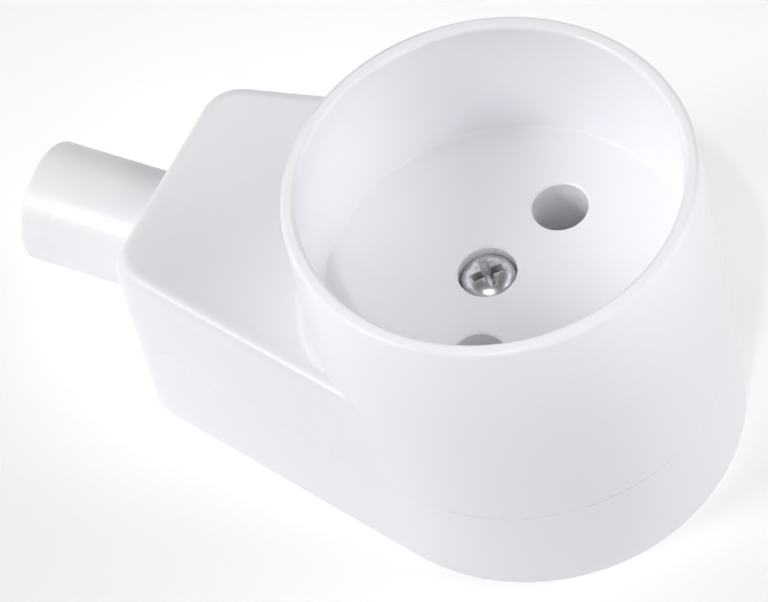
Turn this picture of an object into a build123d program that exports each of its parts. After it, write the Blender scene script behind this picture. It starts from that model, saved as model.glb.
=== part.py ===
from build123d import *
import os
from math import atan, cos, degrees, radians, sin

# Right-angled two-pole trailing socket. The origin is on the cup's axis at the underside,
# +Z points out of the cup and the cable end lies towards -X. All sizes are in millimetres.

# Outer form
overall_height = 38.4
cup_rise = 15.6
base_radius = 20.7
wall_lean = 0.6
end_distance = 39.4
side_angle = 12.2
end_corner_radius = 4.4
body_edge_radius = 1.8
foot_edge_radius = 0.4
cove_radius = 1.2
cove_fade_angle = 60.0

# Parting of the two halves
parting_chamfer = 0.1
housing_wall = 1.8
top_wall = 2.0
cover_floor = 2.2
lip_height = 1.5
lip_thickness = 1.0
lip_clearance = 0.15

# Plug recess
rim_wall = 1.5
rim_edge_radius = 0.5
recess_depth = 15.7
recess_taper = 0.1
recess_fillet = 0.2
floor_thickness = 2.6
pin_spacing = 19.0
pin_offset = 0.9
pin_hole_radius = 2.8
hole_edge = 0.2

# Fixing screw and nut
screw_offset = 2.6
screw_radius = 1.5
screw_tip_gap = 0.1
screw_head_radius = 2.8
screw_head_height = 2.3
screw_head_crown = 1.2
screw_head_sink = 0.1
counterbore_radius = 2.95
cross_length = 3.4
cross_width = 0.8
cross_depth = 1.4
cross_taper = 12.0
cross_angle = 45.0
boss_radius = 4.4
nut_across_flats = 5.5
nut_thickness = 2.4
nut_clearance = 0.1
nut_recess = 0.4
nut_edge = 0.3
thread_clearance = 0.05
hole_clearance = 0.2

# Cable sleeve
sleeve_radius = 6.25
sleeve_bore_radius = 3.5
sleeve_reach = 15.0
sleeve_edge_radius = 0.45
sleeve_clearance = 0.1
collar_step = 1.2
collar_thickness = 2.0
collar_clearance = 0.2
rib_thickness = 1.5
rib_opening_radius = 4.6

# Contacts and terminals
contact_radius = 3.1
contact_bore_radius = 2.45
contact_length = 9.5
contact_end_play = 0.2
contact_slot = 0.8
seat_height = 2.8
seat_radius = 4.2
seat_bore_radius = 2.7
guide_radius = 5.0
guide_pocket_radius = 4.1
guide_web = 1.6
spring_thickness = 0.6
spring_margin = 0.4
spring_gap_angle = 50.0
block_width = 6.8
block_height = 5.2
block_edge = 0.4
block_beyond_screw = 3.0
wire_hole_radius = 1.3
terminal_screw_radius = 1.5
terminal_head_radius = 2.5
terminal_head_height = 1.7
terminal_head_gap = 0.4
terminal_clearance = 0.4
driver_slot_width = 0.7
driver_slot_depth = 0.8

# Cord clamp
cable_radius = 3.3
clamp_width = 6.0
clamp_height = 4.8
clamp_end = 3.2
clamp_corner_radius = 1.2
clamp_gap = 2.5
clamp_side_gap = 1.4
clamp_screw_radius = 1.4
clamp_screw_length = 10.0
clamp_head_radius = 2.6
clamp_head_height = 1.9
clamp_pilot_end = 0.6
post_radius = 2.8
saddle_thickness = 2.5
saddle_drop = 0.6

# Places that follow from the sizes above
side = radians(side_angle)
draft = degrees(atan(wall_lean / overall_height))


def lean(height):
    """How far the drafted outer walls have moved inwards at a height."""
    return wall_lean * height / overall_height


def half_width(inset, x):
    """Half the body's width at a place along its straight sides, measured inside an inset."""
    return ((base_radius - inset) + x * sin(side)) / cos(side)


rim_radius = base_radius - wall_lean
body_top_height = overall_height - cup_rise
parting_height = body_top_height / 2
recess_floor_height = overall_height - recess_depth
mouth_radius = rim_radius - rim_wall
recess_floor_radius = mouth_radius - recess_taper
chamber_top = min(recess_floor_height - floor_thickness, body_top_height - top_wall)
cup_start_height = body_top_height - 2 * body_edge_radius
parting_lean = lean(parting_height)
cover_wall = housing_wall + lip_clearance + lip_thickness

contact_bottom = cover_floor + seat_height
contact_top = contact_bottom + contact_length
guide_bottom = contact_bottom + block_height + contact_end_play
pocket_top = contact_top + contact_end_play
pin_places = {"left": pin_spacing / 2, "right": -pin_spacing / 2}
terminal_x = pin_offset - (seat_radius + terminal_head_radius + terminal_clearance)
block_end_x = terminal_x - block_beyond_screw
wire_height = contact_bottom + block_height / 2

screw_x = -screw_offset
screw_head_top = recess_floor_height - screw_head_sink
screw_seat = screw_head_top - screw_head_height
screw_length = screw_seat - nut_recess - screw_tip_gap

end_inner_x = -(end_distance - parting_lean - cover_wall)
collar_start_x = end_inner_x + collar_clearance
collar_end_x = collar_start_x + collar_thickness
collar_radius = sleeve_radius + collar_step
rib_start_x = collar_end_x + collar_clearance
rib_end_x = rib_start_x + rib_thickness
sleeve_end_x = -(end_distance + sleeve_reach)

clamp_x = rib_end_x + clamp_gap + clamp_width / 2
clamp_length = 2 * (half_width(parting_lean + cover_wall, clamp_x - clamp_width / 2) - clamp_side_gap)
clamp_screw_spacing = clamp_length - 2 * clamp_end
clamp_places = {"left": clamp_screw_spacing / 2, "right": -clamp_screw_spacing / 2}
clamp_top = parting_height + clamp_height

sleeve_axis = Axis((0, 0, parting_height), (1, 0, 0))


def body_outline(inset):
    """Plan of the body: a round end on the cup's axis, two walls tangent to it and a flat cable end."""
    radius = base_radius - inset
    end_x = inset - end_distance
    tangent_x = -radius * sin(side)
    tangent_y = radius * cos(side)
    end_y = half_width(inset, end_x)
    with BuildSketch() as outline:
        with BuildLine():
            ThreePointArc((tangent_x, -tangent_y), (radius, 0), (tangent_x, tangent_y))
            Polyline(
                (tangent_x, tangent_y),
                (end_x, end_y),
                (end_x, -end_y),
                (tangent_x, -tangent_y),
            )
        make_face()
        fillet(outline.vertices().group_by(Axis.X)[0], end_corner_radius - inset)
    return outline.sketch


def foot_cove():
    """Hollow round at the foot of the cup that fades out towards the body's rounded edge."""
    foot_radius = base_radius - lean(body_top_height)
    head_height = body_top_height + cove_radius
    head_radius = base_radius - lean(head_height)
    middle = cove_radius * (1 - cos(radians(45)))
    with BuildPart() as cove:
        with BuildSketch(Plane.XZ):
            with BuildLine():
                ThreePointArc(
                    (foot_radius + cove_radius, body_top_height),
                    (foot_radius + middle, body_top_height + middle),
                    (head_radius, head_height),
                )
                Polyline(
                    (head_radius, head_height),
                    (head_radius - rim_wall / 2, head_height),
                    (head_radius - rim_wall / 2, body_top_height),
                    (foot_radius + cove_radius, body_top_height),
                )
            make_face()
        revolve(axis=Axis.Z)
        with BuildSketch(Plane.XY.offset(body_top_height)):
            add(body_outline(lean(body_top_height) + body_edge_radius))
        extrude(amount=cove_radius, taper=cove_fade_angle, mode=Mode.INTERSECT)
    return cove.part


def lip_band(outer_inset, inner_inset):
    """Ring in plan that follows the body's outline between two insets."""
    with BuildSketch() as band:
        add(body_outline(outer_inset))
        add(body_outline(inner_inset), mode=Mode.SUBTRACT)
    return band.sketch


def collar_rib():
    """Plan of the wall that holds the sleeve's collar, ending inside the housing's side walls."""
    with BuildSketch() as rib:
        add(body_outline(parting_lean + housing_wall / 2))
        with Locations(((rib_start_x + rib_end_x) / 2, 0)):
            Rectangle(rib_thickness, 4 * base_radius, mode=Mode.INTERSECT)
    return rib.sketch


def cylinder_along_x(radius, start_x, end_x):
    """Solid round bar on the cable's axis, for cutting seats for the sleeve and the cable."""
    with BuildPart() as bar:
        with BuildSketch(Plane.YZ.offset(start_x)):
            with Locations((0, parting_height)):
                Circle(radius)
        extrude(amount=end_x - start_x)
    return bar.part


def sleeve_seats():
    """Cuts that both halves share: the sleeve's hole, its collar's groove and the rib's opening."""
    hole = sleeve_radius + sleeve_clearance
    groove = collar_radius + collar_clearance
    return (
        cylinder_along_x(hole, -end_distance - sleeve_reach, rib_start_x),
        cylinder_along_x(groove, end_inner_x, rib_start_x),
        cylinder_along_x(rib_opening_radius, collar_start_x, rib_end_x + collar_clearance),
    )


def slotted_screw(seat, head_radius, head_height, shank_radius, shank_length):
    """Cheese-head screw: the head stands on the seat plane and the shank runs back through it."""
    with BuildPart() as screw:
        with BuildSketch(seat):
            Circle(head_radius)
        extrude(amount=head_height)
        with BuildSketch(seat):
            Circle(shank_radius)
        extrude(amount=-shank_length)
        with BuildSketch(seat.offset(head_height)):
            Rectangle(3 * head_radius, driver_slot_width)
        extrude(amount=-driver_slot_depth, mode=Mode.SUBTRACT)
    return screw.part


os.makedirs("parts", exist_ok=True)

# Front housing: body with a rounded top edge, the cup and its recess, hollow underneath
with BuildPart() as front_housing:
    with BuildSketch(Plane.XY.offset(parting_height)):
        add(body_outline(parting_lean))
    extrude(amount=body_top_height - parting_height, taper=draft)
    chamfer(front_housing.faces().sort_by(Axis.Z)[0].edges(), parting_chamfer)
    fillet(front_housing.faces().sort_by(Axis.Z)[-1].edges(), body_edge_radius)
    with BuildSketch(Plane.XY.offset(recess_floor_height)):
        Circle(recess_floor_radius)
    extrude(amount=recess_depth, mode=Mode.SUBTRACT)
    with BuildSketch(Plane.XZ) as cup_wall:
        with BuildLine():
            Polyline(
                (0, cup_start_height),
                (base_radius - lean(cup_start_height), cup_start_height),
                (rim_radius, overall_height),
                (mouth_radius, overall_height),
                (recess_floor_radius, recess_floor_height),
                (0, recess_floor_height),
                close=True,
            )
        make_face()
        fillet(cup_wall.vertices().group_by(Axis.Y)[-1], rim_edge_radius)
        fillet(cup_wall.vertices().group_by(Axis.Y)[1].sort_by(Axis.X)[-1], recess_fillet)
    revolve(axis=Axis.Z)
    add(foot_cove())
    with BuildSketch(Plane.XY.offset(parting_height)):
        add(body_outline(parting_lean + housing_wall))
    extrude(amount=chamber_top - parting_height, taper=draft, mode=Mode.SUBTRACT)
    # rib behind the sleeve's collar, screw boss and the guides round the contacts
    with BuildSketch(Plane.XY.offset(parting_height)):
        add(collar_rib())
        with Locations((pin_offset, 0)):
            Rectangle(guide_web, pin_spacing)
        with Locations((screw_x, 0)):
            Circle(boss_radius)
    extrude(amount=chamber_top - parting_height)
    with BuildSketch(Plane.XY.offset(guide_bottom)):
        with Locations((pin_offset, pin_places["left"]), (pin_offset, pin_places["right"])):
            Circle(guide_radius)
    extrude(amount=chamber_top - guide_bottom)
    with BuildSketch(Plane.XY.offset(guide_bottom)):
        with Locations((pin_offset, pin_places["left"]), (pin_offset, pin_places["right"])):
            Circle(guide_pocket_radius)
    extrude(amount=pocket_top - guide_bottom, mode=Mode.SUBTRACT)
    with BuildSketch(Plane.XY.offset(pocket_top)):
        with Locations((pin_offset, pin_places["left"]), (pin_offset, pin_places["right"])):
            Circle(pin_hole_radius)
    extrude(amount=recess_floor_height - pocket_top, mode=Mode.SUBTRACT)
    with BuildSketch(Plane.XY.offset(screw_seat)):
        with Locations((screw_x, 0)):
            Circle(counterbore_radius)
    extrude(amount=recess_floor_height - screw_seat, mode=Mode.SUBTRACT)
    with BuildSketch(Plane.XY.offset(recess_floor_height)):
        with Locations((pin_offset, pin_places["left"]), (pin_offset, pin_places["right"])):
            Circle(pin_hole_radius + hole_edge)
        with Locations((screw_x, 0)):
            Circle(counterbore_radius + hole_edge)
    extrude(amount=-hole_edge, taper=45, mode=Mode.SUBTRACT)
    with BuildSketch(Plane.XY.offset(parting_height)):
        with Locations((screw_x, 0)):
            Circle(screw_radius + hole_clearance)
    extrude(amount=screw_seat - parting_height, mode=Mode.SUBTRACT)
    # room for the cover's lip and for the sleeve
    with BuildSketch(Plane.XY.offset(parting_height)):
        add(lip_band(parting_lean + housing_wall, parting_lean + cover_wall + lip_clearance))
    extrude(amount=lip_height + lip_clearance, mode=Mode.SUBTRACT)
    add(sleeve_seats(), mode=Mode.SUBTRACT)

front_housing.part.label = "front_housing"
export_step(front_housing.part, "parts/front_housing.step")

# Back cover: shallow tray with a lip, the nut's pocket, the contact seats and the clamp's posts
with BuildPart() as back_cover:
    with BuildSketch():
        add(body_outline(0))
    extrude(amount=parting_height, taper=draft)
    fillet(back_cover.faces().sort_by(Axis.Z)[0].edges(), foot_edge_radius)
    chamfer(back_cover.faces().sort_by(Axis.Z)[-1].edges(), parting_chamfer)
    with BuildSketch(Plane.XY.offset(cover_floor)):
        add(body_outline(parting_lean + cover_wall))
    extrude(amount=parting_height - cover_floor, mode=Mode.SUBTRACT)
    with BuildSketch(Plane.XY.offset(parting_height)):
        add(lip_band(parting_lean + housing_wall + lip_clearance, parting_lean + cover_wall))
    extrude(amount=lip_height)
    with BuildSketch(Plane.XY.offset(cover_floor)):
        add(collar_rib())
        with Locations((screw_x, 0)):
            Circle(boss_radius)
        with Locations((clamp_x, clamp_places["left"]), (clamp_x, clamp_places["right"])):
            Circle(post_radius)
    extrude(amount=parting_height - cover_floor)
    with BuildSketch(Plane.XY.offset(cover_floor)):
        with Locations((clamp_x, 0)):
            Rectangle(saddle_thickness, clamp_screw_spacing)
    extrude(amount=parting_height - saddle_drop - cover_floor)
    with BuildSketch(Plane.XY.offset(cover_floor)):
        with Locations((pin_offset, pin_places["left"]), (pin_offset, pin_places["right"])):
            Circle(seat_radius)
            Circle(seat_bore_radius, mode=Mode.SUBTRACT)
    extrude(amount=seat_height)
    # screw hole, nut pocket, pilot holes for the clamp's screws and the seats of sleeve and cable
    with BuildSketch():
        with Locations((screw_x, 0)):
            RegularPolygon(nut_across_flats / 2 + nut_clearance, 6, major_radius=False)
    extrude(amount=nut_recess + nut_thickness, mode=Mode.SUBTRACT)
    with BuildSketch():
        with Locations((screw_x, 0)):
            Circle(screw_radius + hole_clearance)
    extrude(amount=parting_height, mode=Mode.SUBTRACT)
    with BuildSketch(Plane.XY.offset(clamp_top - clamp_screw_length - clamp_pilot_end)):
        with Locations((clamp_x, clamp_places["left"]), (clamp_x, clamp_places["right"])):
            Circle(clamp_screw_radius + thread_clearance)
    extrude(amount=clamp_screw_length, mode=Mode.SUBTRACT)
    add(sleeve_seats(), mode=Mode.SUBTRACT)
    cable_start_x = clamp_x - saddle_thickness
    add(cylinder_along_x(cable_radius, cable_start_x, cable_start_x + 2 * saddle_thickness), mode=Mode.SUBTRACT)

back_cover.part.label = "back_cover"
export_step(back_cover.part, "parts/back_cover.step")

# Cable sleeve: a short tube whose collar is trapped between the end wall and the rib
with BuildPart() as cable_sleeve:
    with BuildSketch(Plane.XZ):
        with BuildLine():
            Polyline(
                (sleeve_end_x, parting_height + sleeve_bore_radius),
                (sleeve_end_x, parting_height + sleeve_radius),
                (collar_start_x, parting_height + sleeve_radius),
                (collar_start_x, parting_height + collar_radius),
                (collar_end_x, parting_height + collar_radius),
                (collar_end_x, parting_height + sleeve_bore_radius),
                close=True,
            )
        make_face()
    revolve(axis=sleeve_axis)
    fillet(cable_sleeve.faces().sort_by(Axis.X)[0].edges(), sleeve_edge_radius)

cable_sleeve.part.label = "cable_sleeve"
export_step(cable_sleeve.part, "parts/cable_sleeve.step")

# Fixing screw: pan head with a cross recess, shank down to the nut
with BuildPart() as fixing_screw:
    with BuildSketch(Plane.XZ):
        with BuildLine():
            Line((screw_x, screw_head_top), (screw_x, screw_seat - screw_length))
            Polyline(
                (screw_x, screw_seat - screw_length),
                (screw_x + screw_radius, screw_seat - screw_length),
                (screw_x + screw_radius, screw_seat),
                (screw_x + screw_head_radius, screw_seat),
                (screw_x + screw_head_radius, screw_head_top - screw_head_crown),
            )
            TangentArc(
                (screw_x, screw_head_top),
                (screw_x + screw_head_radius, screw_head_top - screw_head_crown),
                tangent=(1, 0),
            )
        make_face()
    revolve(axis=Axis((screw_x, 0, 0), (0, 0, 1)))
    with BuildSketch(Plane.XY.offset(screw_head_top)):
        with Locations((screw_x, 0)):
            Rectangle(cross_length, cross_width, rotation=cross_angle)
            Rectangle(cross_width, cross_length, rotation=cross_angle)
    extrude(amount=-cross_depth, taper=cross_taper, mode=Mode.SUBTRACT)

fixing_screw.part.label = "fixing_screw"
export_step(fixing_screw.part, "parts/fixing_screw.step")

# Fixing nut: hexagon nut at the top of its pocket
with BuildPart() as fixing_nut:
    with BuildSketch(Plane.XY.offset(nut_recess)):
        with Locations((screw_x, 0)):
            RegularPolygon(nut_across_flats / 2, 6, major_radius=False)
            Circle(screw_radius + thread_clearance, mode=Mode.SUBTRACT)
    extrude(amount=nut_thickness)
    chamfer(fixing_nut.edges().filter_by(GeomType.CIRCLE), nut_edge)

fixing_nut.part.label = "fixing_nut"
export_step(fixing_nut.part, "parts/fixing_nut.step")

# Contacts, their springs and their terminal screws, one set for each pin
for name, pin_y in pin_places.items():
    with BuildPart() as contact:
        with BuildSketch(Plane.XY.offset(contact_bottom)):
            with Locations((pin_offset, pin_y)):
                Circle(contact_radius)
        extrude(amount=contact_length)
        with BuildSketch(Plane.XY.offset(contact_bottom)):
            with Locations(((pin_offset + block_end_x) / 2, pin_y)):
                RectangleRounded(pin_offset - block_end_x, block_width, block_edge)
        extrude(amount=block_height)
        with BuildSketch(Plane.XY.offset(contact_bottom)):
            with Locations((pin_offset, pin_y)):
                Circle(contact_bore_radius)
        extrude(amount=contact_length, mode=Mode.SUBTRACT)
        with BuildSketch(Plane.XY.offset(contact_bottom + block_height)):
            with Locations((pin_offset, pin_y)):
                Rectangle(contact_slot, 3 * contact_radius)
                Rectangle(3 * contact_radius, contact_slot)
        extrude(amount=contact_length - block_height, mode=Mode.SUBTRACT)
        with BuildSketch(Plane.YZ.offset(block_end_x)):
            with Locations((pin_y, wire_height)):
                Circle(wire_hole_radius)
        extrude(amount=2 * block_beyond_screw, mode=Mode.SUBTRACT)
        with BuildSketch(Plane.XY.offset(contact_bottom)):
            with Locations((terminal_x, pin_y)):
                Circle(terminal_screw_radius + thread_clearance)
        extrude(amount=block_height / 2, mode=Mode.SUBTRACT)
    contact.part.label = f"contact_{name}"
    export_step(contact.part, f"parts/contact_{name}.step")

    with BuildPart() as contact_spring:
        with BuildSketch(Plane.XY.offset(guide_bottom + spring_margin)):
            with BuildLine():
                inside = contact_radius + thread_clearance
                turn = 360 - spring_gap_angle
                outer = CenterArc((pin_offset, pin_y), inside + spring_thickness, spring_gap_angle / 2, turn)
                inner = CenterArc((pin_offset, pin_y), inside, spring_gap_angle / 2, turn)
                Line(outer @ 0, inner @ 0)
                Line(outer @ 1, inner @ 1)
            make_face()
        extrude(amount=pocket_top - guide_bottom - 2 * spring_margin)
    contact_spring.part.label = f"contact_spring_{name}"
    export_step(contact_spring.part, f"parts/contact_spring_{name}.step")

    terminal_seat = Plane((terminal_x, pin_y, contact_bottom - terminal_head_gap), (1, 0, 0), (0, 0, -1))
    terminal_screw = slotted_screw(
        terminal_seat,
        terminal_head_radius,
        terminal_head_height,
        terminal_screw_radius,
        terminal_head_gap + block_height / 2,
    )
    terminal_screw.label = f"terminal_screw_{name}"
    export_step(terminal_screw, f"parts/terminal_screw_{name}.step")

# Cord clamp: a bridge on the two posts with a half-round groove over the cable
with BuildPart() as cord_clamp:
    with BuildSketch(Plane.YZ.offset(clamp_x - clamp_width / 2)) as bridge:
        with Locations((0, parting_height + clamp_height / 2)):
            Rectangle(clamp_length, clamp_height)
        fillet(bridge.vertices().group_by(Axis.Y)[-1], clamp_corner_radius)
        with Locations((0, parting_height)):
            Circle(cable_radius, mode=Mode.SUBTRACT)
    extrude(amount=clamp_width)
    with BuildSketch(Plane.XY.offset(parting_height)):
        with Locations((clamp_x, clamp_places["left"]), (clamp_x, clamp_places["right"])):
            Circle(clamp_screw_radius + hole_clearance)
    extrude(amount=clamp_height, mode=Mode.SUBTRACT)

cord_clamp.part.label = "cord_clamp"
export_step(cord_clamp.part, "parts/cord_clamp.step")

for name, clamp_y in clamp_places.items():
    clamp_screw = slotted_screw(
        Plane((clamp_x, clamp_y, clamp_top), (1, 0, 0), (0, 0, 1)),
        clamp_head_radius,
        clamp_head_height,
        clamp_screw_radius,
        clamp_screw_length,
    )
    clamp_screw.label = f"cord_clamp_screw_{name}"
    export_step(clamp_screw, f"parts/cord_clamp_screw_{name}.step")
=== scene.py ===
from math import cos, pi, radians, sin

import bmesh
import bpy
from mathutils import Matrix, Vector


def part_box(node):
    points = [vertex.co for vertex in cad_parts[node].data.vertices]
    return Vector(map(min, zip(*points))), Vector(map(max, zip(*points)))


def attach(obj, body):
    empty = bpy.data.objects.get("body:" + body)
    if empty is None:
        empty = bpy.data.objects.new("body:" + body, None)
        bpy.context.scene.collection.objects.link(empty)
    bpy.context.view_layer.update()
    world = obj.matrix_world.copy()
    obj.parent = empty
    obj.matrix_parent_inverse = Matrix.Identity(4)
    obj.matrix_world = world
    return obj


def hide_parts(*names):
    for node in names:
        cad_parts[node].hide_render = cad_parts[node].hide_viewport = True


bl_info = {
    "name": "Right-angled trailing socket",
    "version": (1, 0, 0),
    "blender": (4, 5, 0),
    "location": "3D View > Sidebar > Socket",
    "description": "Dresses a white right-angled trailing socket and lights it on a pale table",
    "category": "Object",
}

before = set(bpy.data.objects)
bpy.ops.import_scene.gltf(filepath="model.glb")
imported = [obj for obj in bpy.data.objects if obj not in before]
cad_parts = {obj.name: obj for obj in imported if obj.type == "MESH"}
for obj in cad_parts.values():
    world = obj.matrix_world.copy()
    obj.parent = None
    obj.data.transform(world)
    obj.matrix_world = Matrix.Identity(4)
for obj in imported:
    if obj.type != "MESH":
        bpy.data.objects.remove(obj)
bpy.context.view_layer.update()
MM = 0.001
UP = Vector((0, 0, 1))
WELD = 0.001 * MM  # vertices closer than this are merged
NEAR = 0.002 * MM  # a vertex this near to a ring lies on it
SMOOTH_ANGLE = radians(32)  # faces that meet at less than this are shaded as one surface


def linear(code):
    """Linear red, green, blue and alpha of an sRGB hex value."""
    parts = [int(code[i:i + 2], 16) / 255 for i in (1, 3, 5)]
    return [p / 12.92 if p <= 0.04045 else ((p + 0.055) / 1.055) ** 2.4 for p in parts] + [1.0]


def shade(name, description, code):
    """A colour property whose default is an sRGB hex value."""
    return bpy.props.FloatVectorProperty(
        name=name, description=description, default=linear(code),
        size=4, min=0.0, max=1.0, subtype="COLOR",
    )


def length(name, description, millimetres):
    """A length property whose default is given in millimetres."""
    return bpy.props.FloatProperty(
        name=name, description=description, default=millimetres * MM, unit="LENGTH"
    )


def angle(name, description, degrees):
    """An angle property whose default is given in degrees."""
    return bpy.props.FloatProperty(
        name=name, description=description, default=radians(degrees), subtype="ANGLE"
    )


class SocketColours(bpy.types.PropertyGroup):
    """Colours of the socket's materials."""

    plastic: shade("Plastic", "White of the moulded case", "#f4f3f7")
    plastic_grey: shade("Plastic, greyer", "Greyer tone that the white drifts to in patches", "#f1f0f4")
    sleeve: shade("Sleeve", "White of the cable sleeve", "#f9f8fb")
    nickel: shade("Nickel", "Plating of the screws and the nut", "#e6e6e8")
    nickel_dull: shade("Nickel, dulled", "Plating where handling has dulled it", "#b8b8bd")
    brass: shade("Brass", "Contacts", "#c9a14f")
    brass_dark: shade("Brass, tarnished", "Tarnish in the turning marks", "#8f6b2c")
    steel: shade("Spring steel", "Contact springs", "#5b616b")
    steel_brown: shade("Spring steel, browned", "Brown end of the temper colours", "#5f5550")
    clamp: shade("Clamp", "Fibre-filled moulding of the cord clamp", "#c9c7c2")
    clamp_fibre: shade("Clamp fibres", "Glass fibres at the clamp's surface", "#dcdbd6")
    table: shade("Table", "Pale table under the socket", "#fafafb")
    table_grey: shade("Table, greyer", "Faint mottling of the table", "#f7f7f9")


class SocketSizes(bpy.types.PropertyGroup):
    """Sizes of the pieces that are modelled here; their places come from the frame."""

    sleeve_bore: length("Sleeve bore", "Radius of the sleeve's hole", 3.5)
    sleeve_radius: length("Sleeve radius", "Radius of the sleeve outside the case", 6.25)
    collar_thickness: length("Collar thickness", "Collar that holds the sleeve in the case", 2.0)
    collar_edge: length("Collar edge", "Rounding of the collar", 0.2)
    mouth_round: length("Mouth rounding", "Rounding of the sleeve's open end", 0.45)
    ring_back: length("Ring distance", "Moulding ring, measured from the open end", 3.4)
    ring_width: length("Ring width", "Width of the moulding ring", 0.4)
    ring_depth: length("Ring depth", "Depth of the moulding ring", 0.03)
    head_height: length("Head height", "Height of the fixing screw's head", 2.3)
    head_crown: length("Head crown", "Height of the rounded part of that head", 1.45)
    head_foot: length("Head foot", "Chamfer under that head", 0.15)
    cross_span: length("Cross span", "From wing to wing of the cross recess", 4.2)
    cross_width: length("Cross width", "Width of a wing", 1.1)
    cross_depth: length("Cross depth", "Depth of the cross recess", 1.6)
    cross_turn: angle("Cross turn", "How the cross recess is turned", 45.0)
    screw_radius: length("Screw radius", "Outer radius of the fixing screw's thread", 1.5)
    thread_pitch: length("Thread pitch", "From one turn of a thread to the next", 0.5)
    thread_depth: length("Thread depth", "Depth of a thread", 0.27)
    nut_chamfer: length("Nut chamfer", "Height of the nut's chamfered corners", 0.4)
    nut_bore: length("Nut bore", "Radius of the nut's hole", 1.55)
    nut_countersink: length("Nut countersink", "Widening at both ends of the nut's hole", 0.3)
    terminal_head: length("Terminal head", "Height of a terminal screw's head", 1.7)
    terminal_radius: length("Terminal radius", "Outer radius of a terminal screw's thread", 1.5)
    clamp_head: length("Clamp screw head", "Height of a clamp screw's head", 1.9)
    clamp_radius: length("Clamp screw radius", "Outer radius of a clamp screw's thread", 1.4)
    head_edge: length("Head edge", "Rounding of a slotted head", 0.35)
    slot_width: length("Slot width", "Width of the slot in a slotted head", 0.7)
    slot_depth: length("Slot depth", "Depth of the slot in a slotted head", 0.8)
    spring_thickness: length("Spring thickness", "Thickness of a contact spring's strip", 0.6)
    spring_edge: length("Spring edge", "Rounding of the strip's edges", 0.12)
    spring_gap: angle("Spring gap", "Opening of a contact spring", 50.0)


class SocketStage(bpy.types.PropertyGroup):
    """Camera and daylight."""

    azimuth: angle("Azimuth", "Camera's direction round the cup's axis", 37.9383)
    elevation: angle("Elevation", "Camera's height above the horizon", 53.3121)
    roll: angle("Roll", "Camera's turn about its own view", -15.0501)
    distance: length("Distance", "Along the view, from the camera to the cup's foot", 520.0)
    aside: length("Aside", "Camera's shift to its right", -15.855)
    above: length("Above", "Camera's shift upwards", 10.8797)
    lens: bpy.props.FloatProperty(
        name="Lens", description="Focal length in millimetres", default=242.471, min=1.0
    )
    daylight: bpy.props.FloatProperty(
        name="Daylight", description="Even light from all round", default=0.12, min=0.0
    )


def add_node(tree, kind, settings=None, inputs=None):
    """Adds a node. Settings are its own properties; inputs are values, or the sockets that feed it."""
    new = tree.nodes.new(kind)
    for key, value in (settings or {}).items():
        setattr(new, key, value)
    for key, value in (inputs or {}).items():
        if isinstance(value, bpy.types.NodeSocket):
            tree.links.new(value, new.inputs[key])
        else:
            new.inputs[key].default_value = value
    return new


def shared(maker, colours):
    """A material that several pieces use, made the first time."""
    return bpy.data.materials.get(maker.__name__) or maker(colours)


def new_material(name):
    """An empty material, its node tree and the object coordinates, in metres."""
    material = bpy.data.materials.new(name)
    material.use_nodes = True
    material.node_tree.nodes.clear()
    tree = material.node_tree
    return material, tree, add_node(tree, "ShaderNodeTexCoord").outputs["Object"]


def moulded_white_abs(colours):
    """White ABS from a polished mould."""
    # Polished steel gives a clean gloss with a faint long waviness and fine draw lines up the walls,
    # and handling dulls it in patches.
    material, tree, place = new_material("moulded_white_abs")
    patches = add_node(tree, "ShaderNodeTexNoise", {}, {
        "Vector": place, "Scale": 1 / (14 * MM), "Detail": 3.0,
    })
    colour = add_node(tree, "ShaderNodeMix", {"data_type": "RGBA"}, {
        0: patches.outputs["Fac"], 6: colours.plastic, 7: colours.plastic_grey,
    })
    rough = add_node(tree, "ShaderNodeMapRange", {}, {
        "Value": patches.outputs["Fac"], "From Min": 0.3, "From Max": 0.7,
        "To Min": 0.285, "To Max": 0.345,
    })
    wave = add_node(tree, "ShaderNodeTexNoise", {}, {
        "Vector": place, "Scale": 1 / (7 * MM), "Detail": 1.0,
    })
    swell = add_node(tree, "ShaderNodeBump", {}, {
        "Strength": 0.03, "Distance": 0.1 * MM, "Height": wave.outputs["Fac"],
    })
    drawn = add_node(tree, "ShaderNodeMapping", {}, {
        "Vector": place, "Scale": (1 / (0.5 * MM), 1 / (0.5 * MM), 1 / (18 * MM)),
    })
    lines = add_node(tree, "ShaderNodeTexNoise", {}, {
        "Vector": drawn.outputs[0], "Scale": 1.0, "Detail": 2.0,
    })
    bump = add_node(tree, "ShaderNodeBump", {}, {
        "Strength": 0.02, "Distance": 0.02 * MM, "Height": lines.outputs["Fac"],
        "Normal": swell.outputs[0],
    })
    skin = add_node(tree, "ShaderNodeBsdfPrincipled", {}, {
        "Base Color": colour.outputs[2], "Roughness": rough.outputs[0],
        "IOR": 1.53, "Normal": bump.outputs[0],
    })
    add_node(tree, "ShaderNodeOutputMaterial", {}, {"Surface": skin.outputs[0]})
    return material


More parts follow.
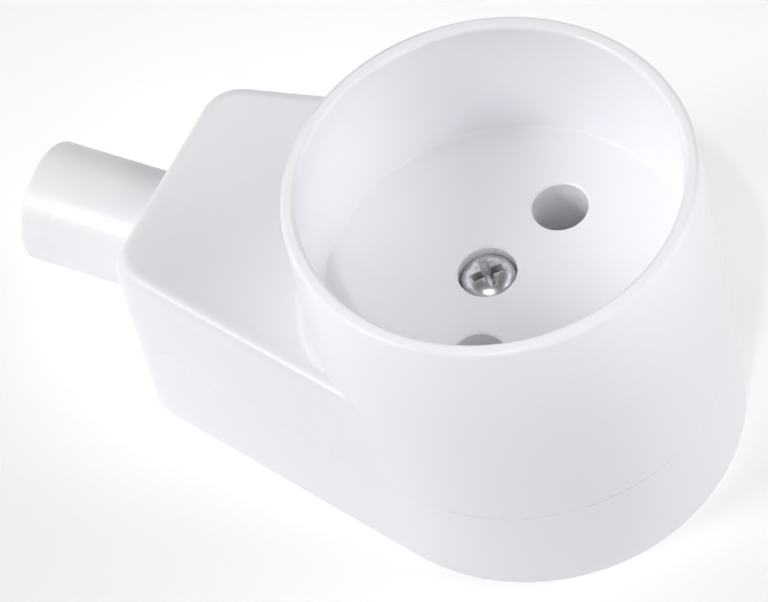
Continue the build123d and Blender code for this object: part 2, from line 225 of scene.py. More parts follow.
def moulded_white_pvc(colours):
    """Softer white PVC of the sleeve."""
    # Soft PVC copies the mould a little less sharply, so its gloss is broader,
    # and it shows a fine leathery swell.
    material, tree, place = new_material("moulded_white_pvc")
    patches = add_node(tree, "ShaderNodeTexNoise", {}, {
        "Vector": place, "Scale": 1 / (6 * MM), "Detail": 3.0,
    })
    colour = add_node(tree, "ShaderNodeMix", {"data_type": "RGBA"}, {
        0: patches.outputs["Fac"], 6: colours.sleeve, 7: colours.plastic_grey,
    })
    rough = add_node(tree, "ShaderNodeMapRange", {}, {
        "Value": patches.outputs["Fac"], "From Min": 0.3, "From Max": 0.7, "To Min": 0.36, "To Max": 0.44,
    })
    grain = add_node(tree, "ShaderNodeTexNoise", {}, {
        "Vector": place, "Scale": 1 / (0.9 * MM), "Detail": 2.0,
    })
    bump = add_node(tree, "ShaderNodeBump", {}, {
        "Strength": 0.06, "Distance": 0.03 * MM, "Height": grain.outputs["Fac"],
    })
    skin = add_node(tree, "ShaderNodeBsdfPrincipled", {}, {
        "Base Color": colour.outputs[2], "Roughness": rough.outputs[0],
        "IOR": 1.53, "Normal": bump.outputs[0],
    })
    add_node(tree, "ShaderNodeOutputMaterial", {}, {"Surface": skin.outputs[0]})
    return material


def nickel_plated_steel(colours):
    """Barrel-plated nickel on cold-headed steel."""
    # Tumbling in the plating barrel leaves a bright skin with tiny dents and duller, rubbed patches.
    material, tree, place = new_material("nickel_plated_steel")
    rubbed = add_node(tree, "ShaderNodeTexNoise", {}, {
        "Vector": place, "Scale": 1 / (0.8 * MM), "Detail": 4.0,
    })
    share = add_node(tree, "ShaderNodeMapRange", {}, {
        "Value": rubbed.outputs["Fac"], "From Min": 0.42, "From Max": 0.68, "To Min": 0.0, "To Max": 1.0,
    })
    colour = add_node(tree, "ShaderNodeMix", {"data_type": "RGBA"}, {
        0: share.outputs[0], 6: colours.nickel, 7: colours.nickel_dull,
    })
    rough = add_node(tree, "ShaderNodeMapRange", {}, {
        "Value": rubbed.outputs["Fac"], "From Min": 0.3, "From Max": 0.7, "To Min": 0.29, "To Max": 0.36,
    })
    dents = add_node(tree, "ShaderNodeTexVoronoi", {"feature": "SMOOTH_F1"}, {
        "Vector": place, "Scale": 1 / (0.35 * MM),
    })
    bump = add_node(tree, "ShaderNodeBump", {}, {
        "Strength": 0.12, "Distance": 0.02 * MM, "Height": dents.outputs["Distance"],
    })
    skin = add_node(tree, "ShaderNodeBsdfPrincipled", {}, {
        "Base Color": colour.outputs[2], "Roughness": rough.outputs[0],
        "Metallic": 1.0, "Normal": bump.outputs[0],
    })
    add_node(tree, "ShaderNodeOutputMaterial", {}, {"Surface": skin.outputs[0]})
    return material


def turned_brass(colours):
    """Brass turned from bar."""
    # The lathe tool leaves fine rings round the pin's axis, and tarnish gathers in them.
    # A Wave node of scale 1 repeats every 0.314 units, so that is divided by the rings' spacing.
    material, tree, place = new_material("turned_brass")
    rings = add_node(tree, "ShaderNodeTexWave", {"bands_direction": "Z"}, {
        "Vector": place, "Scale": 0.314 / (0.12 * MM), "Distortion": 0.6, "Detail": 2.0,
    })
    cloud = add_node(tree, "ShaderNodeTexNoise", {}, {
        "Vector": place, "Scale": 1 / (2.5 * MM), "Detail": 4.0,
    })
    share = add_node(tree, "ShaderNodeMath", {"operation": "MULTIPLY"}, {
        0: rings.outputs["Fac"], 1: cloud.outputs["Fac"],
    })
    colour = add_node(tree, "ShaderNodeMix", {"data_type": "RGBA"}, {
        0: share.outputs[0], 6: colours.brass, 7: colours.brass_dark,
    })
    rough = add_node(tree, "ShaderNodeMapRange", {}, {
        "Value": cloud.outputs["Fac"], "From Min": 0.3, "From Max": 0.7, "To Min": 0.29, "To Max": 0.42,
    })
    bump = add_node(tree, "ShaderNodeBump", {}, {
        "Strength": 0.15, "Distance": 0.01 * MM, "Height": rings.outputs["Fac"],
    })
    skin = add_node(tree, "ShaderNodeBsdfPrincipled", {}, {
        "Base Color": colour.outputs[2], "Roughness": rough.outputs[0],
        "Metallic": 1.0, "Normal": bump.outputs[0],
    })
    add_node(tree, "ShaderNodeOutputMaterial", {}, {"Surface": skin.outputs[0]})
    return material


def blued_spring_steel(colours):
    """Hardened and tempered strip."""
    # Tempering tints the oxide from blue to brown in clouds, over the long rolling lines of the strip.
    material, tree, place = new_material("blued_spring_steel")
    cloud = add_node(tree, "ShaderNodeTexNoise", {}, {
        "Vector": place, "Scale": 1 / (2 * MM), "Detail": 3.0,
    })
    colour = add_node(tree, "ShaderNodeMix", {"data_type": "RGBA"}, {
        0: cloud.outputs["Fac"], 6: colours.steel, 7: colours.steel_brown,
    })
    rolled = add_node(tree, "ShaderNodeMapping", {}, {
        "Vector": place, "Scale": (1 / (6 * MM), 1 / (6 * MM), 1 / (0.06 * MM)),
    })
    lines = add_node(tree, "ShaderNodeTexNoise", {}, {
        "Vector": rolled.outputs[0], "Scale": 1.0, "Detail": 2.0,
    })
    rough = add_node(tree, "ShaderNodeMapRange", {}, {
        "Value": lines.outputs["Fac"], "From Min": 0.3, "From Max": 0.7, "To Min": 0.29, "To Max": 0.42,
    })
    bump = add_node(tree, "ShaderNodeBump", {}, {
        "Strength": 0.1, "Distance": 0.01 * MM, "Height": lines.outputs["Fac"],
    })
    skin = add_node(tree, "ShaderNodeBsdfPrincipled", {}, {
        "Base Color": colour.outputs[2], "Roughness": rough.outputs[0],
        "Metallic": 1.0, "Normal": bump.outputs[0],
    })
    add_node(tree, "ShaderNodeOutputMaterial", {}, {"Surface": skin.outputs[0]})
    return material


def glass_filled_nylon(colours):
    """Glass-filled nylon of the cord clamp."""
    # Short fibres lie along the flow and show as pale flecks on a dull, slightly rough skin.
    # They are drawn some eight times too thick, because real ones are too fine to show.
    material, tree, place = new_material("glass_filled_nylon")
    flow = add_node(tree, "ShaderNodeMapping", {}, {
        "Vector": place, "Scale": (1 / (0.08 * MM), 1 / (0.5 * MM), 1 / (0.08 * MM)),
    })
    fibres = add_node(tree, "ShaderNodeTexNoise", {}, {
        "Vector": flow.outputs[0], "Scale": 1.0, "Detail": 2.0,
    })
    share = add_node(tree, "ShaderNodeMapRange", {}, {
        "Value": fibres.outputs["Fac"], "From Min": 0.55, "From Max": 0.7, "To Min": 0.0, "To Max": 1.0,
    })
    colour = add_node(tree, "ShaderNodeMix", {"data_type": "RGBA"}, {
        0: share.outputs[0], 6: colours.clamp, 7: colours.clamp_fibre,
    })
    rough = add_node(tree, "ShaderNodeMapRange", {}, {
        "Value": fibres.outputs["Fac"], "From Min": 0.3, "From Max": 0.7, "To Min": 0.5, "To Max": 0.66,
    })
    bump = add_node(tree, "ShaderNodeBump", {}, {
        "Strength": 0.2, "Distance": 0.02 * MM, "Height": fibres.outputs["Fac"],
    })
    skin = add_node(tree, "ShaderNodeBsdfPrincipled", {}, {
        "Base Color": colour.outputs[2], "Roughness": rough.outputs[0],
        "IOR": 1.53, "Normal": bump.outputs[0],
    })
    add_node(tree, "ShaderNodeOutputMaterial", {}, {"Surface": skin.outputs[0]})
    return material


def satin_opal_acrylic(colours):
    """Opal acrylic of the light table."""
    # The sheet is lit faintly from below, so it stays near white. Its satin face has a fine grain
    # and gives no mirror image.
    material, tree, place = new_material("satin_opal_acrylic")
    cloud = add_node(tree, "ShaderNodeTexNoise", {}, {
        "Vector": place, "Scale": 1 / (60 * MM), "Detail": 2.0,
    })
    colour = add_node(tree, "ShaderNodeMix", {"data_type": "RGBA"}, {
        0: cloud.outputs["Fac"], 6: colours.table, 7: colours.table_grey,
    })
    grain = add_node(tree, "ShaderNodeTexNoise", {}, {
        "Vector": place, "Scale": 1 / (0.4 * MM), "Detail": 2.0,
    })
    bump = add_node(tree, "ShaderNodeBump", {}, {
        "Strength": 0.05, "Distance": 0.02 * MM, "Height": grain.outputs["Fac"],
    })
    skin = add_node(tree, "ShaderNodeBsdfPrincipled", {}, {
        "Base Color": colour.outputs[2], "Roughness": 0.7, "IOR": 1.49, "Normal": bump.outputs[0],
        "Emission Color": (1.0, 1.0, 1.0, 1.0), "Emission Strength": 0.22,
    })
    add_node(tree, "ShaderNodeOutputMaterial", {}, {"Surface": skin.outputs[0]})
    return material


def alone(piece):
    """Selects one object and makes it active."""
    bpy.ops.object.select_all(action="DESELECT")
    piece.select_set(True)
    bpy.context.view_layer.objects.active = piece


def new_piece(name):
    """Names the primitive just added, fixes its place in its mesh and opens it with all selected."""
    piece = bpy.context.object
    piece.name = name
    bpy.ops.object.transform_apply(location=True, rotation=True, scale=True)
    bpy.ops.object.mode_set(mode="EDIT")
    bpy.ops.mesh.select_all(action="SELECT")
    return piece


def choose(piece, kind, test):
    """In edit mode, selects just the vertices, edges or faces whose every corner passes the test."""
    bpy.ops.mesh.select_mode(type=kind)
    bpy.ops.mesh.select_all(action="DESELECT")
    mesh = bmesh.from_edit_mesh(piece.data)
    items = {"VERT": mesh.verts, "EDGE": mesh.edges, "FACE": mesh.faces}[kind]
    for item in items:
        corners = [item] if kind == "VERT" else item.verts
        item.select_set(all(test(corner.co) for corner in corners))
    mesh.select_flush_mode()
    bmesh.update_edit_mesh(piece.data)


def turned(name, base, axis, profile, corners, solid):
    """A turned form: a ring, or a disc if solid, is extruded along the axis and scaled step by step."""
    bpy.ops.object.select_all(action="DESELECT")
    along, radius = profile[0]
    bpy.ops.mesh.primitive_circle_add(
        vertices=corners,
        radius=radius,
        fill_type="NGON" if solid else "NOTHING",
        location=base + axis * along,
        rotation=axis.to_track_quat("Z", "Y").to_euler(),
    )
    piece = new_piece(name)
    for next_along, next_radius in profile[1:]:
        step = {"value": axis * (next_along - along)}
        if solid:
            bpy.ops.mesh.extrude_region_move(TRANSFORM_OT_translate=step)
        else:
            bpy.ops.mesh.extrude_edges_move(TRANSFORM_OT_translate=step)
        size = next_radius / radius
        bpy.ops.transform.resize(value=(size, size, size), center_override=base + axis * next_along)
        along, radius = next_along, next_radius
    bpy.ops.mesh.select_all(action="SELECT")
    bpy.ops.mesh.remove_doubles(threshold=WELD)
    bpy.ops.mesh.normals_make_consistent(inside=False)
    return piece


def bevel_ring(piece, base, axis, along, radius, offset, segments):
    """Rounds the ring of edges at one step of a turned form."""
    def on_ring(point):
        reach = (point - base).dot(axis)
        off_axis = (point - base - axis * reach).length
        return abs(reach - along) < NEAR and abs(off_axis - radius) < NEAR

    choose(piece, "EDGE", on_ring)
    bpy.ops.mesh.bevel(offset=offset, segments=segments, affect="EDGES")


def change(piece, kind, settings):
    """Adds a modifier with its settings and applies it."""
    alone(piece)
    bpy.ops.object.modifier_add(type=kind)
    modifier = piece.modifiers[-1]
    for key, value in settings.items():
        setattr(modifier, key, value)
    bpy.ops.object.modifier_apply(modifier=modifier.name)


def carve(piece, tool, operation):
    """Cuts a piece with a tool and removes the tool."""
    bpy.ops.object.mode_set(mode="OBJECT")
    change(piece, "BOOLEAN", {"operation": operation, "object": tool, "solver": "EXACT"})
    bpy.data.objects.remove(tool)


def threaded_bar(name, base, axis, radius, depth, pitch, size):
    """A threaded bar: one tooth is screwed round the axis, then both ends are cut flat."""
    crest = 0.25  # share of the pitch that the tooth's flat top takes
    lead_in = 1.3 * pitch  # the first turns, which the lower cut removes
    flank = radius - depth / 2
    bpy.ops.object.select_all(action="DESELECT")
    bpy.ops.mesh.primitive_plane_add(size=1.0, location=(flank, 0, 0), rotation=(pi / 2, 0, 0))
    bpy.context.object.scale = (depth, pitch, 1.0)
    piece = new_piece(name)
    choose(piece, "EDGE", lambda point: point.x > flank)
    bpy.ops.transform.resize(value=(1.0, 1.0, crest))
    choose(piece, "EDGE", lambda point: point.x < flank)
    bpy.ops.mesh.delete(type="EDGE_FACE")
    bpy.ops.object.mode_set(mode="OBJECT")
    turns = int(size / pitch) + 3  # a few more than are needed, so that both cuts meet the thread
    change(piece, "SCREW", {"screw_offset": pitch, "iterations": turns, "steps": 24, "render_steps": 24})
    bpy.ops.object.mode_set(mode="EDIT")
    bpy.ops.mesh.select_all(action="SELECT")
    bpy.ops.mesh.remove_doubles(threshold=WELD)
    for height, side in ((lead_in, -1.0), (lead_in + size, 1.0)):
        bpy.ops.mesh.select_all(action="SELECT")
        bpy.ops.mesh.bisect(
            plane_co=(0, 0, height), plane_no=(0, 0, side),
            use_fill=True, clear_outer=True, threshold=1e-7,
        )
    bpy.ops.object.mode_set(mode="OBJECT")
    turn = axis.to_track_quat("Z", "Y").to_matrix().to_4x4()
    piece.matrix_world = Matrix.Translation(base) @ turn @ Matrix.Translation((0, 0, -lead_in))
    bpy.ops.object.transform_apply(location=True, rotation=True, scale=True)
    return piece


def merge_pieces(name, pieces):
    """Joins the bodies of one piece into one object."""
    alone(pieces[0])
    for piece in pieces:
        piece.select_set(True)
    bpy.ops.object.join()
    pieces[0].name = name
    return pieces[0]


def hand_over(piece, node, material):
    """Finishes a piece: outward normals, smooth shading, its material and its place in the frame."""
    alone(piece)
    bpy.ops.object.mode_set(mode="EDIT")
    bpy.ops.mesh.select_all(action="SELECT")
    bpy.ops.mesh.normals_make_consistent(inside=False)
    bpy.ops.object.mode_set(mode="OBJECT")
    bpy.ops.object.transform_apply(location=True, rotation=True, scale=True)
    bpy.ops.object.shade_smooth_by_angle(angle=SMOOTH_ANGLE)
    change(piece, "WEIGHTED_NORMAL", {"keep_sharp": True})
    piece.data.materials.clear()
    piece.data.materials.append(material)
    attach(piece, "root")
    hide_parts(node)


def hand_over_pair(left, right_name, left_node, right_node, material):
    """Copies a finished left form, with its own mesh, to the right node's place and hands both over."""
    alone(left)
    bpy.ops.object.duplicate(linked=False)
    right = bpy.context.object
    right.name = right_name
    bpy.ops.transform.translate(value=middle_of(right_node)[2] - middle_of(left_node)[2])
    hand_over(left, left_node, material)
    hand_over(right, right_node, material)


def dress(names, material):
    """Gives CAD nodes whose shape stays a material."""
    for name in names:
        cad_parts[name].data.materials.clear()
        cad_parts[name].data.materials.append(material)


def middle_of(node):
    """Lowest corner, highest corner and middle of a CAD node."""
    low, high = (Vector(corner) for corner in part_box(node))
    return low, high, (low + high) / 2


class SOCKET_OT_case(bpy.types.Operator):
    """Gives both halves of the case their moulded white finish"""

    bl_idname = "socket.case"
    bl_label = "Case"

    def execute(self, context):
        dress(("front_housing", "back_cover"), moulded_white_abs(context.scene.socket_colours))
        return {"FINISHED"}


class SOCKET_OT_sleeve(bpy.types.Operator):
    """Models the cable sleeve with its collar, moulding ring and rounded mouth"""

    bl_idname = "socket.sleeve"
    bl_label = "Cable sleeve"

    def execute(self, context):
        sizes = context.scene.socket_sizes
        low, high, middle = middle_of("cable_sleeve")
        base = Vector((high.x, middle.y, middle.z))
        axis = Vector((-1, 0, 0))
        reach = high.x - low.x
        collar = (high.z - low.z) / 2
        bore = sizes.sleeve_bore
        outside = sizes.sleeve_radius
        ring = reach - sizes.ring_back
        half = sizes.ring_width / 2
        profile = [
            (0.0, bore),
            (0.0, collar),
            (sizes.collar_thickness, collar),
            (sizes.collar_thickness, outside),
            (ring - half, outside),
            (ring - half / 2, outside - sizes.ring_depth),
            (ring + half / 2, outside - sizes.ring_depth),
            (ring + half, outside),
            (reach, outside),
            (reach, bore),
            (0.0, bore),
        ]
        piece = turned("sleeve_moulding", base, axis, profile, corners=128, solid=False)
        for along in (0.0, sizes.collar_thickness):
            bevel_ring(piece, base, axis, along, collar, sizes.collar_edge, segments=3)
        for radius in (outside, bore):
            bevel_ring(piece, base, axis, reach, radius, sizes.mouth_round, segments=8)
        bpy.ops.object.mode_set(mode="OBJECT")
        hand_over(piece, "cable_sleeve", moulded_white_pvc(context.scene.socket_colours))
        return {"FINISHED"}


class SOCKET_OT_fixing_screw(bpy.types.Operator):
    """Models the fixing screw: crowned pan head, cross recess and thread"""

    bl_idname = "socket.fixing_screw"
    bl_label = "Fixing screw"

    def execute(self, context):
        sizes = context.scene.socket_sizes
        low, high, middle = middle_of("fixing_screw")
        radius = (high.x - low.x) / 2
        base = Vector((middle.x, middle.y, high.z - sizes.head_height))
        shoulder = sizes.head_height - sizes.head_crown
        profile = [(0.0, radius - sizes.head_foot), (sizes.head_foot, radius)]
        steps = 16
        last_turn = radians(85)  # short of the axis, so that a small disc closes the top
        fullness = 0.85  # under 1, the crown is fuller than a plain arc
        for step in range(steps + 1):
            turn = last_turn * step / steps
            rise = sizes.head_crown * sin(turn) ** fullness
            profile.append((shoulder + rise, radius * cos(turn) ** fullness))
        piece = turned("pan_screw", base, UP, profile, corners=96, solid=True)
        bpy.ops.object.mode_set(mode="OBJECT")
        carve(piece, self.cross(sizes, Vector((middle.x, middle.y, high.z))), "DIFFERENCE")
        # remeshing and smoothing break the edges of the recess, as forging and plating do
        change(piece, "REMESH", {"mode": "SMOOTH", "octree_depth": 7, "scale": 0.95})
        change(piece, "SMOOTH", {"factor": 0.5, "iterations": 6})
        change(piece, "DECIMATE", {"ratio": 0.4})
        shank = threaded_bar(
            "shank", Vector((middle.x, middle.y, low.z)), UP, sizes.screw_radius, sizes.thread_depth,
            sizes.thread_pitch, base.z - low.z + sizes.head_foot,
        )
        piece = merge_pieces("pan_screw", [piece, shank])
        plating = shared(nickel_plated_steel, context.scene.socket_colours)
        hand_over(piece, "fixing_screw", plating)
        return {"FINISHED"}

    def cross(self, sizes, top):
        """Tool for the cross recess: a block, four wings drawn out of its sides, narrowed downwards."""
        width = sizes.cross_width
        depth = sizes.cross_depth
        height = 1.3 * depth  # stands out of the head, so that the cut is open
        taper = 0.35  # share of its span and width that the cross keeps at its bottom
        bottom = top.z - depth
        bpy.ops.object.select_all(action="DESELECT")
        bpy.ops.mesh.primitive_cube_add(size=width, location=top - UP * (depth - width / 2))
        tool = new_piece("cross_tool")
        choose(tool, "FACE", lambda point: point.z > bottom + width / 2)
        bpy.ops.transform.translate(value=UP * (height - width))
        mesh = bmesh.from_edit_mesh(tool.data)
        bpy.ops.mesh.select_all(action="DESELECT")
        for face in mesh.faces:
            face.select_set(abs(face.normal.z) < 0.5)  # the upright faces
        bmesh.update_edit_mesh(tool.data)
        wing = (sizes.cross_span - width) / 2
        bpy.ops.mesh.extrude_faces_move(TRANSFORM_OT_shrink_fatten={"value": wing})
        choose(tool, "VERT", lambda point: point.z < bottom + 0.1 * depth)
        bpy.ops.transform.resize(value=(taper, taper, 1.0), center_override=(top.x, top.y, bottom))
        bpy.ops.mesh.select_all(action="SELECT")
        bpy.ops.transform.rotate(value=sizes.cross_turn, orient_axis="Z", center_override=top)
        bpy.ops.mesh.normals_make_consistent(inside=False)
        bpy.ops.object.mode_set(mode="OBJECT")
        return tool


class SOCKET_OT_fixing_nut(bpy.types.Operator):
    """Models the hexagon nut with chamfered corners and a countersunk hole"""

    bl_idname = "socket.fixing_nut"
    bl_label = "Fixing nut"

    def execute(self, context):
        sizes = context.scene.socket_sizes
        low, high, middle = middle_of("fixing_nut")
        base = Vector((middle.x, middle.y, low.z))
        thick = high.z - low.z
        corner = (high.x - low.x) / 2
        bpy.ops.object.select_all(action="DESELECT")
        bpy.ops.mesh.primitive_circle_add(
            vertices=6, radius=corner, fill_type="NGON", location=base, rotation=(0, 0, radians(30))
        )
        piece = new_piece("hexagon_nut")
        bpy.ops.mesh.extrude_region_move(TRANSFORM_OT_translate={"value": UP * thick})
        bpy.ops.mesh.select_all(action="SELECT")
        bpy.ops.mesh.normals_make_consistent(inside=False)
        bpy.ops.object.mode_set(mode="OBJECT")
        chamfer = sizes.nut_chamfer
        wide = 1.02 * corner  # clear of the corners between the chamfers
        narrow = 0.97 * (high.y - low.y) / 2  # just inside the flats at both ends
        rounding = turned("nut_rounding", base, UP, [
            (0.0, narrow),
            (chamfer, wide),
            (thick - chamfer, wide),
            (thick, narrow),
        ], corners=96, solid=True)
        carve(piece, rounding, "INTERSECT")
        bore = sizes.nut_bore
        sink = sizes.nut_countersink
        hole = turned("nut_hole", base, UP, [
            (-sink, bore + 2 * sink),
            (sink, bore),
            (thick - sink, bore),
            (thick + sink, bore + 2 * sink),
        ], corners=96, solid=True)
        carve(piece, hole, "DIFFERENCE")
        plating = shared(nickel_plated_steel, context.scene.socket_colours)
        hand_over(piece, "fixing_nut", plating)
        return {"FINISHED"}


def slotted_screw(name, node, axis, head_height, thread_radius, sizes):
    """A cheese-head screw in a node's place, its head towards the axis's end."""
    low, high, middle = middle_of(node)
    top = high.z if axis.z > 0 else low.z
    tip = low.z if axis.z > 0 else high.z
    radius = (high.x - low.x) / 2
    seat = Vector((middle.x, middle.y, top)) - axis * head_height
    end = Vector((middle.x, middle.y, tip))
    piece = turned(name, seat, axis, [(0.0, radius), (head_height, radius)], corners=72, solid=True)
    bevel_ring(piece, seat, axis, head_height, radius, sizes.head_edge, segments=5)
    bpy.ops.object.mode_set(mode="OBJECT")
    bpy.ops.object.select_all(action="DESELECT")
    block = 2 * sizes.slot_depth  # half of it stands out of the head, so that the cut is open
    bpy.ops.mesh.primitive_cube_add(size=block, location=seat + axis * head_height)
    tool = new_piece("slot_tool")
    bpy.ops.transform.resize(value=(4 * radius / block, sizes.slot_width / block, 1.0))
    bpy.ops.object.mode_set(mode="OBJECT")
    carve(piece, tool, "DIFFERENCE")
    shank = threaded_bar(
        "shank", end, axis, thread_radius, sizes.thread_depth, sizes.thread_pitch,
        (seat - end).length + sizes.head_edge,
    )
    return merge_pieces(name, [piece, shank])


class SOCKET_OT_terminal_screws(bpy.types.Operator):
    """Models the terminal screws, head down under the contacts"""

    bl_idname = "socket.terminal_screws"
    bl_label = "Terminal screws"

    def execute(self, context):
        sizes = context.scene.socket_sizes
        left = slotted_screw(
            "terminal_cheese_screw_left", "terminal_screw_left", -UP,
            sizes.terminal_head, sizes.terminal_radius, sizes,
        )
        hand_over_pair(
            left, "terminal_cheese_screw_right", "terminal_screw_left", "terminal_screw_right",
            shared(nickel_plated_steel, context.scene.socket_colours),
        )
        return {"FINISHED"}


class SOCKET_OT_clamp_screws(bpy.types.Operator):
    """Models the two screws of the cord clamp"""

    bl_idname = "socket.clamp_screws"
    bl_label = "Clamp screws"

    def execute(self, context):
        sizes = context.scene.socket_sizes
        left = slotted_screw(
            "clamp_cheese_screw_left", "cord_clamp_screw_left", UP,
            sizes.clamp_head, sizes.clamp_radius, sizes,
        )
        hand_over_pair(
            left, "clamp_cheese_screw_right", "cord_clamp_screw_left", "cord_clamp_screw_right",
            shared(nickel_plated_steel, context.scene.socket_colours),
        )
        return {"FINISHED"}


class SOCKET_OT_contacts(bpy.types.Operator):
    """Gives the contacts their turned brass and models the spring rings round them"""

    bl_idname = "socket.contacts"
    bl_label = "Contacts and springs"

    def execute(self, context):
        colours = context.scene.socket_colours
        dress(("contact_left", "contact_right"), turned_brass(colours))
        hand_over_pair(
            self.spring(context.scene.socket_sizes), "spring_ring_right",
            "contact_spring_left", "contact_spring_right", blued_spring_steel(colours),
        )
        return {"FINISHED"}

    def spring(self, sizes):
        """One spring ring: the strip's section is spun round the pin and its edges are rounded."""
        low, high, middle = middle_of("contact_spring_left")
        radius = (high.y - low.y) / 2
        centre = Vector((low.x + radius, middle.y, middle.z))
        half_gap = sizes.spring_gap / 2
        start = Matrix.Rotation(half_gap, 3, "Z") @ Vector((radius - sizes.spring_thickness / 2, 0, 0))
        bpy.ops.object.select_all(action="DESELECT")
        bpy.ops.mesh.primitive_plane_add(
            size=1.0, location=centre + start, rotation=(pi / 2, 0, half_gap)
        )
        bpy.context.object.scale = (sizes.spring_thickness, high.z - low.z, 1.0)
        piece = new_piece("spring_ring_left")
        bpy.ops.mesh.spin(steps=64, angle=sizes.spring_gap - 2 * pi, center=centre, axis=(0, 0, 1))
        bpy.ops.mesh.select_all(action="SELECT")
        bpy.ops.mesh.remove_doubles(threshold=WELD)
        bpy.ops.mesh.normals_make_consistent(inside=False)
        bpy.ops.object.mode_set(mode="OBJECT")
        change(piece, "BEVEL", {
            "width": sizes.spring_edge, "segments": 3,
            "limit_method": "ANGLE", "angle_limit": radians(40),
        })
        return piece


class SOCKET_OT_cord_clamp(bpy.types.Operator):
    """Gives the cord clamp its fibre-filled finish"""

    bl_idname = "socket.cord_clamp"
    bl_label = "Cord clamp"

    def execute(self, context):
        dress(("cord_clamp",), glass_filled_nylon(context.scene.socket_colours))
        return {"FINISHED"}


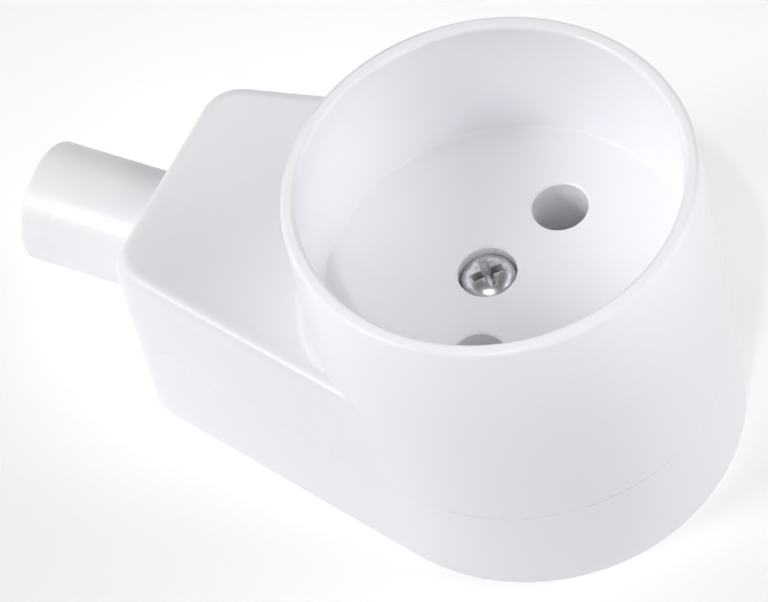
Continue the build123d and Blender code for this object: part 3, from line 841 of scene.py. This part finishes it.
class SOCKET_OT_stage(bpy.types.Operator):
    """Builds the table, the lights and the camera"""

    bl_idname = "socket.stage"
    bl_label = "Stage"

    def execute(self, context):
        self.add_table(context)
        self.add_lights(context)
        self.add_camera(context)
        context.scene.view_settings.view_transform = "Standard"
        return {"FINISHED"}

    def add_table(self, context):
        """Lays the table a hair below the socket, so that no two faces coincide."""
        bpy.ops.object.select_all(action="DESELECT")
        bpy.ops.mesh.primitive_plane_add(size=6.0, location=(0, 0, -0.02 * MM))
        table = context.object
        table.name = "table"
        table.data.materials.append(satin_opal_acrylic(context.scene.socket_colours))

    def add_lights(self, context):
        """Adds daylight, soft boxes and beams. Places and sizes are in metres, spreads in degrees."""
        world = bpy.data.worlds.new("studio")
        world.use_nodes = True
        background = world.node_tree.nodes["Background"]
        background.inputs["Color"].default_value = (1, 1, 1, 1)
        background.inputs["Strength"].default_value = context.scene.socket_stage.daylight
        context.scene.world = world
        cup = Vector((0, 0, 0.020))
        for name, place, size, watts in (
            ("left_box", (-0.73, -0.04, 0.40), 0.5, 1.9),
            ("key_box", (-0.42, -0.52, 0.50), 0.22, 2.1),
            ("right_box", (0.60, 0.34, 0.40), 0.5, 2.9),
            ("front_box", (0.34, -0.46, 0.50), 0.4, 0.6),
            ("top_box", (-0.31, 0.40, 0.68), 0.4, 0.4),
        ):
            self.light(context, "AREA", name, place, cup, watts).size = size
        # narrow soft beams reach into the cup and along the sleeve
        mouth = middle_of("cable_sleeve")[0].x
        sleeve = Vector((mouth + 0.007, 0, 0.012))
        for name, place, target, spread, watts in (
            ("cup_beam", (0.06, -0.21, 0.49), cup, 6.0, 4.2),
            ("sleeve_beam", (-0.24, -0.30, 0.36), sleeve, 5.0, 5.0),
        ):
            self.beam(context, name, place, target, spread, watts, softness=0.025)
        # rings of beams reach the side walls of the recess and leave no sharp shadow of its rim
        for name, middle, target, spread, watts in (
            ("key_ring", (-0.42, -0.52, 0.50), (0.0095, 0.0118, 0.031), 2.8, 7.2),
            ("right_ring", (0.72, -0.20, 0.41), (-0.0130, 0.0040, 0.032), 2.9, 6.8),
        ):
            self.beam_ring(context, name, Vector(middle), Vector(target), spread, watts)

    def beam_ring(self, context, name, middle, target, spread, watts):
        """Adds a ring of beams that all point at one target."""
        count = 8
        radius = 0.07
        toward = (target - middle).normalized()
        across = toward.cross(UP).normalized()
        upward = across.cross(toward)
        for step in range(count):
            turn = 2 * pi * step / count
            place = middle + radius * (cos(turn) * across + sin(turn) * upward)
            self.beam(context, f"{name}_{step}", place, target, spread, watts / count, softness=0.012)

    def beam(self, context, name, place, target, spread, watts, softness):
        """Adds a beam that fades out evenly from its middle."""
        lamp = self.light(context, "SPOT", name, place, target, watts)
        lamp.spot_size = radians(spread)
        lamp.spot_blend = 1.0
        lamp.shadow_soft_size = softness

    def light(self, context, kind, name, place, target, watts):
        """Adds one light and turns it to what it lights."""
        lamp = bpy.data.lights.new(name, kind)
        lamp.energy = watts
        holder = bpy.data.objects.new(name, lamp)
        context.scene.collection.objects.link(holder)
        holder.location = place
        holder.rotation_mode = "QUATERNION"
        holder.rotation_quaternion = (target - Vector(place)).to_track_quat("-Z", "Y")
        return lamp

    def add_camera(self, context):
        """Adds the camera, which looks down on the cup from the front right."""
        stage = context.scene.socket_stage
        back = Vector((
            sin(stage.azimuth) * cos(stage.elevation),
            -cos(stage.azimuth) * cos(stage.elevation),
            sin(stage.elevation),
        ))
        right = Vector((cos(stage.azimuth), sin(stage.azimuth), 0.0))
        up = back.cross(right)
        turned_right = cos(stage.roll) * right + sin(stage.roll) * up
        turned_up = -sin(stage.roll) * right + cos(stage.roll) * up
        camera = bpy.data.objects.new("camera", bpy.data.cameras.new("camera"))
        context.scene.collection.objects.link(camera)
        camera.data.sensor_width = 36.0
        camera.data.lens = stage.lens
        camera.data.clip_start = 0.01
        camera.location = back * stage.distance + turned_right * stage.aside + turned_up * stage.above
        camera.rotation_mode = "QUATERNION"
        camera.rotation_quaternion = Matrix((turned_right, turned_up, back)).transposed().to_quaternion()
        context.scene.camera = camera


PIECES = (
    SOCKET_OT_case, SOCKET_OT_sleeve, SOCKET_OT_fixing_screw, SOCKET_OT_fixing_nut, SOCKET_OT_contacts,
    SOCKET_OT_terminal_screws, SOCKET_OT_cord_clamp, SOCKET_OT_clamp_screws, SOCKET_OT_stage,
)


class SOCKET_PT_pieces(bpy.types.Panel):
    """Sidebar list of the socket's pieces"""

    bl_idname = "SOCKET_PT_pieces"
    bl_label = "Trailing socket"
    bl_space_type = "VIEW_3D"
    bl_region_type = "UI"
    bl_category = "Socket"

    def draw(self, context):
        for piece in PIECES:
            self.layout.operator(piece.bl_idname)


CLASSES = (SocketColours, SocketSizes, SocketStage, *PIECES, SOCKET_PT_pieces)


def register():
    for each in CLASSES:
        bpy.utils.register_class(each)
    bpy.types.Scene.socket_colours = bpy.props.PointerProperty(type=SocketColours)
    bpy.types.Scene.socket_sizes = bpy.props.PointerProperty(type=SocketSizes)
    bpy.types.Scene.socket_stage = bpy.props.PointerProperty(type=SocketStage)


def unregister():
    del bpy.types.Scene.socket_stage
    del bpy.types.Scene.socket_sizes
    del bpy.types.Scene.socket_colours
    for each in reversed(CLASSES):
        bpy.utils.unregister_class(each)


def main():
    register()
    bpy.ops.socket.case()
    bpy.ops.socket.sleeve()
    bpy.ops.socket.fixing_screw()
    bpy.ops.socket.fixing_nut()
    bpy.ops.socket.contacts()
    bpy.ops.socket.terminal_screws()
    bpy.ops.socket.cord_clamp()
    bpy.ops.socket.clamp_screws()
    bpy.ops.socket.stage()


if __name__ == "__main__":
    main()
